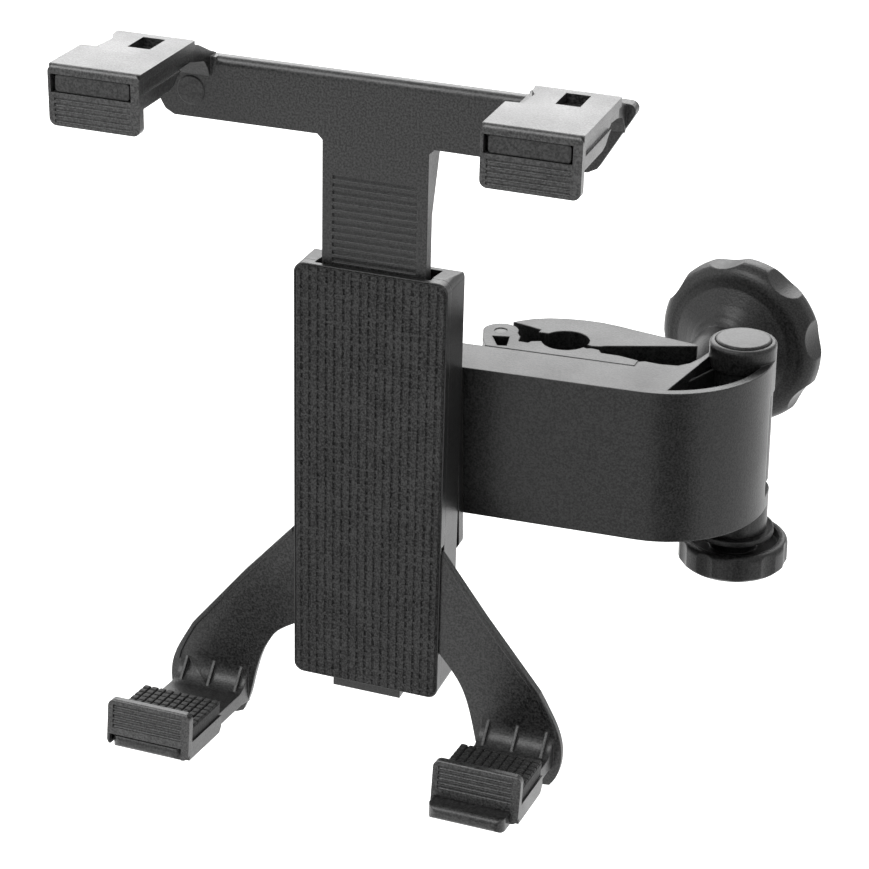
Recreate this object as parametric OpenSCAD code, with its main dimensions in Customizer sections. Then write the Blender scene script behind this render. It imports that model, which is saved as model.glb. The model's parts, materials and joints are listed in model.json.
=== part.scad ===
// Tablet holder for a headrest post: a gripping head on a folding arm with a post clamp.
// The origin is on the post's axis, half way up the arm. X runs right, Y away from the tablet, Z up.

/* [Head] */
// Width of the head's body
body_w = 45; // [38:0.5:56]
// Height of the head's body
body_h = 130.7; // [120:0.1:160]
// Depth of the body from its front rim to its back
body_d = 14; // [13.5:0.25:18]
// Depth of the front shell
front_d = 3; // [2.9:0.1:3.6]
// Wall of both shells
shell_wall = 2; // [1.6:0.1:2.3]
// Radius of the body's corners seen from the front
body_r = 3; // [2:0.25:5]
// Thickness of the rubber face pad
pad_t = 1.5; // [1.2:0.1:1.8]
// How far the face pad stands proud of its rim
pad_proud = 0.5; // [0.2:0.1:0.8]
// Rim of the front shell round the face pad
pad_rim = 0.4; // [0.3:0.1:1.2]
// Turn of the head on its swivel, clockwise from the front
head_turn = 1.8; // [-3:0.1:3]
// Distance of the swivel axis to the left of the post's axis
swivel_x = 43.2; // [42:0.2:54]
// Depth of the swivel axis below the middle of the arm
swivel_drop = 5; // [3:0.25:7]
// Height of the swivel axis above the middle of the body
swivel_rise = 3.6; // [1:0.2:6]
// Gap between the body's back and the arm's plate
swivel_gap = 1.7; // [1:0.1:2.2]
// Thickness of the raised panel on the body's back
panel_t = 1; // [0.6:0.1:1.2]

/* [Upper bracket] */
// Width of the stem
stem_w = 30.4; // [24:0.2:31.6]
// Thickness of the stem
stem_t = 3.8; // [3.2:0.1:4.2]
// Height of the crossbar's lower edge above the middle of the body
bar_low = 102; // [98:0.5:112]
// Height of the crossbar's face
bar_h = 17.5; // [15:0.5:20]
// Distance of the upper jaws from the middle of the stem
upper_jaw_x = 58; // [54:0.5:66]
// Number of grip grooves across the stem
stem_grooves = 12; // [4:1:12]
// Spacing of the grip grooves
groove_pitch = 2.17; // [1.8:0.05:2.3]
// How far the stem reaches down into the body, below its top
stem_tail = 54; // [50:1:60]

/* [Jaws] */
// Width of a jaw
jaw_w = 25.6; // [24.6:0.2:30]
// Thickness of a jaw's front lip
lip_t = 2.4; // [1.8:0.1:3]
// Width of the tongue that a jaw slides on
tongue_w = 22.2; // [18:0.2:23]
// Thickness of an upper tongue
tongue_t = 4.6; // [3.6:0.1:5.4]
// Thickness of a lower tongue
low_tongue_t = 4.2; // [3.4:0.1:4.6]
// Shift of the tongue from the middle of its jaw, to the left
tongue_shift = 0.8; // [0:0.1:1]
// Clearance of a sliding jaw round its tongue
slide_gap = 0.15; // [0.1:0.05:0.25]
// Reach of the upper tongues forward of the face pad
upper_reach = 45.2; // [40:0.5:56]
// Length of an upper jaw's roof
roof_len = 33.8; // [28:0.2:36]
// Thickness of an upper jaw's roof
roof_t = 2.4; // [1.8:0.1:3]
// Height of a jaw's lip beyond the tongue
lip_h = 8.8; // [7:0.2:12]
// Length of a jaw's side skirts
skirt_len = 20.5; // [18:0.5:23]
// Thickness of a jaw's floor between the tongue and the tablet
floor_t = 1.7; // [1.3:0.1:2.2]
// Thickness of the rubber pad in an upper jaw
upper_pad_t = 1.2; // [0.8:0.1:2]
// Thickness of the rubber block in a lower jaw
lower_pad_t = 4.4; // [3:0.2:6]

/* [Legs] */
// Distance of the lower jaws from the middle of the body
lower_jaw_x = 48.2; // [47:0.1:54]
// Thickness of a leg
leg_t = 2; // [1.8:0.1:2.6]
// Distance of a leg's face behind the face pad
leg_back = 1.2; // [0.8:0.1:1.6]
// Reach of the lower tongues forward of the face pad
lower_reach = 46.5; // [42:0.5:52]
// Rise of the lower tongues towards their tips
tongue_tilt = 8; // [4:0.5:10]
// Height of the tongue's top at the leg, below the middle of the body
tongue_low = 75; // [72:0.2:78]
// How far the lower right jaw is pushed back along its tongue
right_push = 6.5; // [3:0.25:7]

/* [Arm] */
// Height of the arm
arm_h = 46; // [42:1:52]
// Distance from the post's axis forward to the arm's front wall
arm_front = 28; // [27:0.25:31]
// Wall of the arm
arm_wall = 2.6; // [2.2:0.1:3.2]
// Distance from the post's axis forward to the seam between arm and clamp
seam_y = 11.2; // [10.8:0.1:11.8]
// Gap at that seam
seam_gap = 0.4; // [0.3:0.05:0.6]
// Radius of the arm's bend round to the hinge
bend_r = 31; // [28:0.5:34]
// Distance of the hinge to the right of the post's axis
hinge_x = 50.8; // [48:0.2:54]
// Distance of the hinge behind the post's axis
hinge_y = 6.5; // [5.5:0.1:7.5]
// Radius of the hinge barrel
barrel_r = 9.6; // [8.6:0.1:10.4]
// Height of the hinge collar above the arm's top
collar_h = 4.7; // [3:0.1:6]
// Reach of the hinge barrel below the arm
barrel_drop = 8.5; // [6:0.25:11]
// Width of the plate that carries the head
plate_w = 43; // [40:0.5:48]
// Height of the plate that carries the head
plate_h = 58; // [54:1:62]
// Thickness of the plate that carries the head
plate_t = 3.8; // [3:0.1:4.4]

/* [Clamp] */
// Radius of the post that the clamp holds
post_r = 7; // [6:0.1:7.2]
// Distance of the jaw's pin to the left of the post's axis
pin_x = 20.1; // [19:0.1:22]
// Radius of the jaw's pin
pin_r = 1.9; // [1.5:0.1:2.2]
// Height of the clamp's knuckle in the hinge
knuckle_h = 28; // [24:0.5:30]
// Height of the knuckle's foot below the middle of the arm
knuckle_low = 15.3; // [14:0.1:15.8]
// Radius of the clamp's bolt
bolt_r = 3; // [2.5:0.1:3.3]
// Turn of the bolt's axis away from straight back
bolt_yaw = 14.2; // [12:0.2:17]
// Radius of the clamp's knob
knob_r = 26.6; // [23:0.2:28]
// Width of the knob's rim
knob_rim = 12; // [9:0.5:15]
// Length of the knob's neck
neck_len = 47.2; // [36:0.2:52]
// Number of scallops round the knob
scallops = 8; // [6:1:10]

/* [Hinge knob] */
// Radius of the knob under the hinge
low_knob_r = 16; // [14.2:0.2:18]
// Height of the knob under the hinge
low_knob_h = 8; // [6.5:0.25:10]
// Radius of the hinge bolt
hinge_bolt_r = 3; // [2.5:0.1:3.6]

/* [Hidden] */
fine = 72;
small = 40;
eps = 0.02;
fit = 0.1;
black = "#1b1b1c";
rubber = "#101011";
steel = "#b9bcc0";

// Head frame: its own origin is in the middle of the body, on the face pad's front
pad_front = 0;
shell_front = pad_front + pad_proud;
seam_d = shell_front + front_d;
body_back = shell_front + body_d;
panel_back = body_back + panel_t;
plate_front = panel_back + swivel_gap;
face_y = -arm_front - plate_t - plate_front;
stem_front = seam_d - 0.4;
stem_back = stem_front + stem_t;
body_top = body_h / 2;
slot_w = stem_w + 3.4;
slot_back = body_back - shell_wall - 0.4;
tail_z = body_top - stem_tail;
bar_top = bar_low + bar_h;
ear_top = bar_top + 2.2;
upper_rise = 6.2;
arm_top = arm_h / 2;
plate_top = arm_top + 1.5;

module head_frame() {
    translate([-swivel_x, face_y, -swivel_drop])
        rotate([0, head_turn, 0])
        translate([0, 0, -swivel_rise])
        children();
}

// A block from the low corner to the high corner
module block(a, b) {
    translate(a) cube([b[0] - a[0], b[1] - a[1], b[2] - a[2]]);
}

// A plate in the X and Z plane, from depth y0 to y1, with the outline given by its children
module upright(y0, y1) {
    translate([0, y1, 0]) rotate([90, 0, 0]) linear_extrude(y1 - y0) children();
}

// A rounded rectangle kept as exact arcs, for walls that carry bores
module plain_round_rect(w, h, r) {
    union() {
        square([w - 2 * r, h], center = true);
        square([w, h - 2 * r], center = true);
        for (x = [-1, 1], z = [-1, 1])
            translate([x * (w / 2 - r), z * (h / 2 - r)]) circle(r, $fn = small);
    }
}

// A cylinder along Y
module y_rod(x, z, r, y0, y1, n = small) {
    translate([x, y1, z]) rotate([90, 0, 0]) cylinder(h = y1 - y0, r = r, $fn = n);
}

// A smooth path through points that lie about evenly apart
function between(a, b, c, d, t) =
    0.5 * (2 * b + (c - a) * t + (2 * a - 5 * b + 4 * c - d) * t * t + (3 * b - a - 3 * c + d) * t * t * t);
function smooth_path(p, steps) =
    let (last = len(p) - 1)
    concat([for (i = [0 : last - 1], k = [0 : steps - 1])
        between(p[max(i - 1, 0)], p[i], p[i + 1], p[min(i + 2, last)], k / steps)], [p[last]]);

// Body of the head
screw_x = body_w / 2 - 4.6;
screw_z = [-body_h / 2 + 7, -body_h / 2 + 32, body_top - 8];
boss_r = 2.2;
panel_h = body_top + 24;
panel_shift = body_top - 2.6 - panel_h / 2;
leg_tab_front = shell_front + shell_wall + 0.2;
leg_tab_back = leg_back + leg_t;
cross_back = leg_tab_front + 3.4;
leg_high = -16.8;
leg_deep = -49.2;
button_w = 21;
button_front = shell_front + 1.2;
button_back = button_front + 7;
button_out = 3.2;

module leg_slots() {
    block([-body_w, leg_back - 0.25, leg_deep - 1.2], [body_w, leg_tab_back + 0.3, leg_high + 1.4]);
    block([-body_w / 2 + shell_wall, 0, leg_deep - 1],
        [body_w / 2 - shell_wall, cross_back + 0.3, leg_high + 1.2]);
}

module button_slot() {
    block([-button_w / 2 - 0.3, button_front - 0.3, -body_h],
        [button_w / 2 + 0.3, button_back + 0.3, -body_h / 2 + 4]);
}

module front_shell() {
    color(black) head_frame() difference() {
        upright(shell_front, seam_d) plain_round_rect(body_w, body_h, body_r);
        upright(shell_front - 1, pad_front + pad_t)
            plain_round_rect(body_w - 2 * pad_rim, body_h - 2 * pad_rim, body_r - pad_rim + 0.6);
        upright(shell_front + shell_wall, seam_d + 1)
            plain_round_rect(body_w - 2 * shell_wall, body_h - 2 * shell_wall, body_r - 0.8);
        for (s = [-1, 1])
            block([s * body_w / 2 - shell_wall - 1, leg_back - 0.25, leg_deep - 1.2],
                [s * body_w / 2 + shell_wall + 1, seam_d + 1, leg_high + 1.4]);
        block([-slot_w / 2, pad_t + 0.6, body_top - 4], [slot_w / 2, seam_d + 1, body_top + 4]);
        block([-button_w / 2 - 0.3, button_front - 0.2, -body_h],
            [button_w / 2 + 0.3, seam_d + 1, -body_h / 2 + 4]);
    }
}

module face_pad() {
    color(rubber) head_frame()
        upright(pad_front, pad_front + pad_t)
        plain_round_rect(body_w - 2 * pad_rim - 0.1, body_h - 2 * pad_rim - 0.1, body_r - pad_rim + 0.5);
}

module rear_shell() {
    color(black) head_frame() difference() {
        union() {
            difference() {
                union() {
                    upright(seam_d, body_back) plain_round_rect(body_w, body_h, body_r);
                    translate([0, 0, panel_shift])
                        upright(body_back - 0.5, panel_back)
                            plain_round_rect(body_w - 1.4, panel_h, body_r);
                }
                upright(seam_d - 1, body_back - shell_wall)
                    plain_round_rect(body_w - 2 * shell_wall, body_h - 2 * shell_wall, body_r - 0.8);
            }
            for (s = [-1, 1], z = screw_z)
                y_rod(s * screw_x, z, boss_r, stem_back + 0.4, body_back - shell_wall + eps);
            y_rod(0, swivel_rise, 9, stem_back + 1.4, body_back - shell_wall + eps, fine);
            block([-9, stem_back + 0.4, spring_top], [9, body_back - shell_wall + eps, spring_top + 1.6]);
        }
        // Sloped upper edge
        translate([-body_w, 0, 0]) rotate([90, 0, 90]) linear_extrude(2 * body_w)
            polygon([[seam_d + 1, body_top], [seam_d + 1, body_top + 5], [panel_back + 5, body_top + 5],
                [panel_back + 5, body_top - 2.1]]);
        leg_slots();
        button_slot();
        block([-slot_w / 2, stem_front - 0.3, body_top - 4], [slot_w / 2, slot_back, body_top + 4]);
        for (s = [-1, 1], z = screw_z) {
            y_rod(s * screw_x, z, 1.1, 0, body_back + 3);
            y_rod(s * screw_x, z, 1.9, body_back - 1.6, body_back + 3);
        }
        y_rod(0, swivel_rise, swivel_r + fit, 0, panel_back + 1, fine);
        y_rod(0, swivel_rise, 6.4, 0, stem_back + 3.6, fine);
    }
}

module shell_screws() {
    color(steel) head_frame()
        for (s = [-1, 1], z = screw_z) {
            y_rod(s * screw_x, z, 1, stem_back + 0.7, body_back - 1);
            y_rod(s * screw_x, z, 1.8, body_back - 1.6, body_back - 0.2);
        }
}

// Swivel that carries the head on the arm's plate
swivel_r = 4;
swivel_head_front = stem_back + 1.7;
module swivel_screw() {
    color(steel) head_frame() difference() {
        union() {
            y_rod(0, swivel_rise, swivel_r, stem_back + 3.4, plate_front + plate_t + 6, fine);
            y_rod(0, swivel_rise, 5.8, swivel_head_front, stem_back + 3.4 + eps, fine);
        }
        block([-4, swivel_head_front - 1, swivel_rise - 0.5],
            [4, swivel_head_front + 0.6, swivel_rise + 0.5]);
    }
}

module swivel_washer() {
    color(steel) head_frame() difference() {
        y_rod(0, swivel_rise, 15, panel_back + 0.05, plate_front - 0.05, fine);
        y_rod(0, swivel_rise, swivel_r + fit, body_back - 1, plate_front + 1, fine);
    }
}

// Legs: one moulding whose cross plate lies behind the front shell
tongue_edge = 1.7;
tongue_corner = 3.2;
gusset_t = 0.9;
tilt_run = tan(tongue_tilt);
function tongue_top(y) = -tongue_low - (y + 3.4) * tilt_run;
leg_lean = -1.2;
leg_shift = lower_jaw_x - 48.6;
function leg_root(side) = body_w / 2 - 0.2 - leg_shift - side * leg_lean;
module leg_face(side) {
    root = leg_root(side);
    outer = [[55, -56.8], [58, -62.2], [60.7, -67.6], [62.3, -73], [62.5, -78.6], [61.4, -83.6],
        [59.4, -87]];
    inner = [[38.8, -84.2], [36.6, -78.5], [34.8, -70.5], [33, -64], [30.8, -58.9], [27.3, -53.8],
        [root, leg_deep - 0.6]];
    polygon(concat([[root, leg_high], [38, -35.6]], smooth_path(outer, 4), [[56, -87.4], [41, -85.2]],
        smooth_path(inner, 4)));
}

fillet_r = 6.5;
fillet_y = leg_back - fillet_r;
fillet_z = tongue_top(fillet_y) + fillet_r / cos(tongue_tilt);
fillet_start = fillet_y - fillet_r * sin(tongue_tilt);
module tongue_profile() {
    r = tongue_edge;
    back = leg_back + leg_t / 2;
    front = -lower_reach;
    polygon([[front + r, tongue_top(front + r)], [back, tongue_top(back)],
        [back, tongue_top(back) - low_tongue_t - 1], [-4, tongue_top(-4) - low_tongue_t],
        [front + r, tongue_top(front + r) - low_tongue_t], [front, tongue_top(front) - low_tongue_t + r],
        [front, tongue_top(front) - r]]);
    for (z = [-r, r - low_tongue_t])
        translate([front + r, tongue_top(front + r) + z]) circle(r, $fn = small);
    // Rounded inner corner where the tongue leaves the leg
    difference() {
        polygon([[fillet_start, tongue_top(fillet_start) - 1], [fillet_start, fillet_z], [back, fillet_z],
            [back, tongue_top(back) - 1]]);
        translate([fillet_y, fillet_z]) circle(fillet_r, $fn = 96);
    }
}

module tongue_side(x0, x1) {
    intersection() {
        translate([x0, 0, 0]) rotate([90, 0, 90]) linear_extrude(x1 - x0) tongue_profile();
        translate([(x0 + x1) / 2, 0, -tongue_low - 20]) linear_extrude(60) union() {
            translate([0, -lower_reach / 2]) plain_round_rect(x1 - x0, lower_reach, tongue_corner);
            translate([0, -lower_reach / 2 + 8]) square([x1 - x0, lower_reach], center = true);
        }
    }
}

module gusset(x) {
    translate([x - gusset_t / 2, 0, 0]) rotate([90, 0, 90]) linear_extrude(gusset_t)
        polygon([[leg_back + 1, fillet_z - 0.8], [leg_back - 0.1, fillet_z - 0.8],
            [fillet_y + 0.5, tongue_top(fillet_y) - 0.3], [leg_back + 1, tongue_top(0) - 1]]);
}

module leg(side) {
    mid = side * lower_jaw_x - tongue_shift;
    translate([side * leg_shift + leg_lean, 0, 0]) upright(leg_back, leg_back + leg_t)
        mirror([side < 0 ? 1 : 0, 0])
        leg_face(side);
    tongue_side(mid - tongue_w / 2, mid + tongue_w / 2);
    for (g = [-1, 0, 1]) gusset(mid + g * (tongue_w / 2 - 2.2));
}

module leg_rim(side) {
    root = leg_root(side) + 0.9;
    translate([side * leg_shift + leg_lean, 0, 0]) upright(leg_back - 0.5, leg_back + 0.5)
        mirror([side < 0 ? 1 : 0, 0])
        polygon([[root, leg_high - 1.1], [38, -35.6], [55, -56.8], [58, -62.4], [60.2, -67.6],
            [60.8, -70.6],
            [59.6, -70.4], [59, -67.9], [56.9, -63], [54, -57.6], [37.2, -36.7],
                [root, leg_high - 2.6]]);
}

module leg_frame() {
    slot_len = 16;
    color(black) head_frame() difference() {
        union() {
            for (side = [-1, 1]) {
                leg(side);
                leg_rim(side);
            }
            block([-body_w / 2 + shell_wall + 0.4, leg_tab_front, leg_deep],
                [body_w / 2 - shell_wall - 0.4, cross_back, leg_high - 1]);
            block([-body_w / 2 - 2, leg_tab_front, leg_deep],
                [body_w / 2 + 2, leg_tab_back, leg_high - 5]);
        }
        for (s = [-1, 1], z = screw_z) y_rod(s * screw_x, z, boss_r + 0.4, -1, body_back);
        for (side = [-1, 1])
            translate([side * lower_jaw_x - tongue_shift, 0, 0])
                block([-stud_w / 2 - 0.4, -lower_reach + 12, -tongue_low - 14],
                    [stud_w / 2 + 0.4, -lower_reach + 12 + slot_len, -tongue_low + 14]);
    }
}

// Upper bracket
ear_x = upper_jaw_x;
bar_edge = 2.2;
ear_round = 2;
ear_out = 10.7;
bracket_half = concat(
    [[stem_w / 2, tail_z], [stem_w / 2, bar_low - 1.5], [stem_w / 2 + 1.5, bar_low],
        [ear_x + 0.8, bar_low - 0.2], [ear_x + 3.4, bar_low + 1.2]],
    [for (a = [-35 : 25 : 90]) [ear_x + ear_out + ear_round * cos(a),
        ear_top - ear_round * (1 - sin(a))]],
    [[ear_x + 8, ear_top], [ear_x + 5, bar_top]]);
module bracket_face() {
    last = len(bracket_half) - 1;
    polygon(concat(bracket_half, [for (i = [last : -1 : 0]) [-bracket_half[i][0], bracket_half[i][1]]]));
}

tongue_z1 = bar_top + upper_rise;
tongue_z0 = tongue_z1 - tongue_t;
insert_back = 0.4;
nose_len = 2.6;
nose_left = 1;
nose_right = 0.4;
module upper_tongue(side) {
    mid = side * ear_x - tongue_shift;
    root = -9;
    translate([mid, 0, tongue_z1 - tongue_t / 2]) upright(-upper_reach + nose_len, root)
        plain_round_rect(tongue_w, tongue_t, 0.6);
    // Narrower nose that fills the lip's window
    translate([mid + (nose_left - nose_right) / 2, 0, tongue_z1 - tongue_t / 2])
        upright(-upper_reach + insert_back, -upper_reach + nose_len + 1)
            plain_round_rect(tongue_w - nose_left - nose_right, tongue_t - 0.1, 0.9);
    translate([mid - tongue_w / 2, 0, 0]) rotate([90, 0, 90]) linear_extrude(tongue_w)
        polygon([[root - 1, tongue_z1 - 1], [root, tongue_z1], [-7.5, tongue_z1],
            [-4.4, tongue_z1 - 0.9], [-0.4, tongue_z1 - 2.8],
            [stem_front, tongue_z1 - 4.5], [stem_back, tongue_z1 - 6], [stem_back, tongue_z1 - 9],
            [stem_front - 0.6, tongue_z1 - 11.6], [stem_front - 1.8, tongue_z1 - 9],
            [stem_front - 4, tongue_z1 - 6.4], [root + 0.4, tongue_z0], [root - 1, tongue_z0 + 1]]);
}

// Takes the corner off a front edge along X and leaves a quarter round
module edge_round(half, y, z, r) {
    difference() {
        block([-half, y - 1, z - r], [half, y + r, z + 1]);
        translate([0, y + r, z - r]) rotate([0, 90, 0])
            cylinder(h = 3 * half, r = r, center = true, $fn = small);
    }
}

module upper_bracket() {
    color(black) head_frame() difference() {
        union() {
            upright(stem_front, stem_back) bracket_face();
            // Lower rail behind the crossbar
            upright(stem_back - 1, stem_back + 3)
                polygon([[-ear_x, bar_low], [-ear_x, bar_low + 2], [ear_x, bar_low + 2],
                [ear_x, bar_low]]);
            for (side = [-1, 1]) {
                upper_tongue(side);
                // Gussets behind the stem
                translate([side * (stem_w / 2 - 0.8) - 0.8, 0, 0]) rotate([90, 0, 90]) linear_extrude(1.6)
                    polygon([[stem_back - 1, bar_low - 20], [stem_back + eps, bar_low - 20],
                        [stem_back + 6.4, bar_low + 1], [stem_back - 1, bar_low + 1]]);
                // Raised disc on each ear
                y_rod(side * (ear_x - 4.4), bar_low + 7.4, 4, stem_front - 0.35, stem_front + 1, fine);
            }
        }
        edge_round(ear_x - tongue_w / 2 - tongue_shift, stem_front, bar_top, bar_edge);
        for (i = [0 : stem_grooves - 1])
            block([-stem_w / 2 + 3, stem_front - 1, body_top + 0.6 + i * groove_pitch],
                [stem_w / 2 - 3, stem_front + 0.55, body_top + 1.7 + i * groove_pitch]);
        // Ratchet on the stem's back
        for (z = [tail_z + 3 : 2.4 : body_top - 6])
            translate([0, 0, z]) block([-5, stem_back - 0.7, 0], [5, stem_back + 1, 1.1]);
    }
}

// Release button: two rails lead round the swivel to the pawl behind the stem
button_top = -body_h / 2 + 5.6;
rail_x = 12;
rail_w = 2.6;
pawl_z = tail_z + 13;
spring_top = button_top + 8.6;
spring_wire = 0.6;
module release_button() {
    color(black) head_frame() union() {
        block([-button_w / 2, button_front, -body_h / 2 - button_out],
            [button_w / 2, button_back, -body_h / 2 + 1.4]);
        block([-button_w / 2, shell_front + shell_wall + 0.4, -body_h / 2],
            [button_w / 2, button_back, button_top]);
        for (s = [-1, 1]) {
            block([s * rail_x - rail_w / 2, stem_back + 0.5, button_top - 3],
                [s * rail_x + rail_w / 2, stem_back + 2.3, pawl_z + 3]);
            block([s * 11 - 2.3, stem_back + 0.5, button_top - 3],
                [s * 11 + 2.3, button_back, button_top]);
        }
        block([-rail_x, stem_back + 0.5, pawl_z], [rail_x, stem_back + 2.3, pawl_z + 3]);
    }
}

// Return spring bent from flat steel, between the button and a stop in the rear shell
module button_spring() {
    turns = 5;
    step = (spring_top - button_top - spring_wire) / turns;
    wide = 6;
    color(steel) head_frame() upright(stem_back + 1, stem_back + 3)
        for (i = [0 : turns])
            translate([0, button_top + i * step]) {
                translate([-wide, 0]) square([2 * wide, spring_wire]);
                if (i < turns) translate([i % 2 == 0 ? wide - spring_wire : -wide, 0])
                    square([spring_wire, step + spring_wire]);
            }
}

// Jaws
stud_w = 4.6;
win_l = -tongue_shift - tongue_w / 2 - slide_gap;
win_r = -tongue_shift + tongue_w / 2 + slide_gap;
lip_corner = 2;
module lip_face(top, bottom) {
    translate([0, (top + bottom) / 2]) plain_round_rect(jaw_w, top - bottom, lip_corner);
}

// The upper jaw's own origin is on its tongue's front end, at the tongue's top
u_top = slide_gap + roof_t;
u_low = -tongue_t - slide_gap - lip_h;
u_floor = -tongue_t - slide_gap - floor_t;
hole_w = 6.4;
side_step = 0.6;
groove_deep = 0.42;
low_groove_deep = 0.6;
// One round bottomed groove across the lip's face
module lip_groove(z, r, deep) {
    translate([-jaw_w / 2 + 1.6, deep - r, z]) rotate([0, 90, 0])
        cylinder(h = jaw_w - 4.2, r = r, $fn = 24);
}
module upper_jaw() {
    difference() {
        union() {
            upright(0, lip_t) lip_face(u_top, u_low);
            // Roof: wide in front, narrow behind
            translate([0, 0, slide_gap]) linear_extrude(roof_t)
                polygon([[-jaw_w / 2, 1], [jaw_w / 2, 1], [jaw_w / 2, 18], [jaw_w / 2 - 0.5, 18.6],
                    [jaw_w / 2 - 0.5, roof_len], [-jaw_w / 2 + 3, roof_len],
                        [-jaw_w / 2 + 3.4, roof_len - 4],
                    [-jaw_w / 2 + 5, roof_len - 7], [-jaw_w / 2 + 4.4, 19], [-jaw_w / 2, 18.6]]);
            // Right skirt with a rounded rear corner
            translate([win_r, 0, 0]) rotate([90, 0, 90]) linear_extrude(jaw_w / 2 - win_r)
                polygon([[1, u_top], [roof_len - 0.4, u_top], [roof_len - 0.4, -2.8],
                    [roof_len - 7, -2.2],
                    [skirt_len + 3, -3.6], [skirt_len + 2, u_floor + 2.4], [skirt_len, u_floor + 0.7],
                    [skirt_len - 2.6, u_floor], [1, u_floor]]);
            translate([-jaw_w / 2, 0, 0]) rotate([90, 0, 90]) linear_extrude(win_l + jaw_w / 2)
                polygon([[1, u_top], [18, u_top], [18, u_floor], [1, u_floor]]);
            block([-jaw_w / 2, 1, u_floor], [jaw_w / 2, skirt_len - 2.6, u_floor + floor_t]);
        }
        block([win_l, -1, -tongue_t - slide_gap], [win_r, lip_t + 1, slide_gap]);
        // Step along the right side
        block([jaw_w / 2 - side_step, lip_t + 0.2, -3], [jaw_w, roof_len, slide_gap]);
        block([-0.9, 21.6, 0], [-0.9 + hole_w, 31, u_top + 1]);
        for (i = [0 : 4]) lip_groove(u_low + 1.28 + i * 1.45, 0.42, groove_deep);
        edge_round(jaw_w, 0, u_top, 1.7);
    }
}

module upper_pad() {
    color(rubber) difference() {
        block([-jaw_w / 2 + 1.2, lip_t + 0.1, u_floor - upper_pad_t],
            [jaw_w / 2 - 1.2, skirt_len - 3, u_floor]);
        for (i = [1 : 7], j = [1 : 5])
            block([-jaw_w / 2 + 0.4 + i * 3, lip_t - 0.6 + j * 3, u_floor - upper_pad_t - 1],
                [-jaw_w / 2 + 0.9 + i * 3, lip_t - 0.1 + j * 3, u_floor - upper_pad_t + 0.4]);
    }
}

module place_upper(side) {
    head_frame() translate([side * ear_x, -upper_reach, tongue_z1]) children();
}

// The lower jaw's own origin is on its tongue's front end, at the tongue's top, with Y along the tongue
l_top = slide_gap + floor_t + lip_h + 0.2;
l_low = 0.8 - low_tongue_t;
l_floor = slide_gap + floor_t;
low_skirt = skirt_len + 2;
module lower_jaw(stud_y) {
    difference() {
        union() {
            upright(0, lip_t) lip_face(l_top, l_low);
            block([-jaw_w / 2, 1, slide_gap], [jaw_w / 2, low_skirt, l_floor]);
            translate([win_r, 0, 0]) rotate([90, 0, 90]) linear_extrude(jaw_w / 2 - win_r)
                polygon([[1, l_floor], [low_skirt, l_floor], [low_skirt + 0.5, l_low + 1.6],
                    [low_skirt - 0.8, l_low],
                    [1, l_low]]);
            translate([-jaw_w / 2, 0, 0]) rotate([90, 0, 90]) linear_extrude(win_l + jaw_w / 2)
                polygon([[1, l_floor], [low_skirt, l_floor], [low_skirt + 0.5, l_low + 1.6],
                    [low_skirt - 0.8, l_low],
                    [1, l_low]]);
            // Snap stud through the tongue's slot
            translate([-tongue_shift, stud_y, 0]) {
                block([-stud_w / 2, 0, -low_tongue_t - 0.3], [stud_w / 2, 4, l_floor]);
                block([-stud_w / 2 - 1.2, 0, -low_tongue_t - 1.4],
                    [stud_w / 2 + 1.2, 4, -low_tongue_t - 0.3 + eps]);
            }
        }
        block([win_l, -1, -low_tongue_t - 1], [win_r, lip_t + 1, slide_gap]);
        edge_round(jaw_w, 0, l_top, 0.8);
        for (i = [0 : 4]) lip_groove(l_floor + 1 + i * 1.5, 0.55, low_groove_deep);
    }
}

module lower_pad() {
    color(rubber) difference() {
        block([-jaw_w / 2 + 0.6, lip_t + 0.1, l_floor],
            [jaw_w / 2 - 0.6, low_skirt + 0.6, l_floor + lower_pad_t]);
        for (i = [1 : 8])
            block([-jaw_w / 2 + 0.4 + i * 2.8, lip_t - 1, l_floor + lower_pad_t - 0.5],
                [-jaw_w / 2 + 0.9 + i * 2.8, low_skirt + 2, l_floor + lower_pad_t + 1]);
        for (j = [1 : 6])
            block([-jaw_w, lip_t - 0.4 + j * 2.8, l_floor + lower_pad_t - 0.5],
                [jaw_w, lip_t + 0.1 + j * 2.8, l_floor + lower_pad_t + 1]);
    }
}

module place_lower(side, push) {
    head_frame() translate([side * lower_jaw_x, -lower_reach, tongue_top(-lower_reach)])
        rotate([-tongue_tilt, 0, 0]) translate([0, push, 0]) children();
}

stud_front = 13.4;
module upper_left_jaw() { color(black) place_upper(-1) upper_jaw(); }
module upper_left_pad() { place_upper(-1) upper_pad(); }
module upper_right_jaw() { color(black) place_upper(1) upper_jaw(); }
module upper_right_pad() { place_upper(1) upper_pad(); }
module lower_left_jaw() { color(black) place_lower(-1, 0) lower_jaw(stud_front); }
module lower_left_pad() { place_lower(-1, 0) lower_pad(); }
module lower_right_jaw() { color(black) place_lower(1, right_push) lower_jaw(stud_front); }
module lower_right_pad() { place_lower(1, right_push) lower_pad(); }

// Arm
bend_x = hinge_x + barrel_r - bend_r;
bend_y = -arm_front + bend_r;
arm_left = -swivel_x - 16;
seam_front = -seam_y - seam_gap / 2;
seam_back = -seam_y + seam_gap / 2;
shelf_x = 23.8;
collar_top = arm_top + collar_h;
knuckle_top = knuckle_low * -1 + knuckle_h;
window_top = knuckle_top + 0.3;
window_low = -knuckle_low - 3.5;
barrel_low = -arm_top - barrel_drop;

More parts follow.
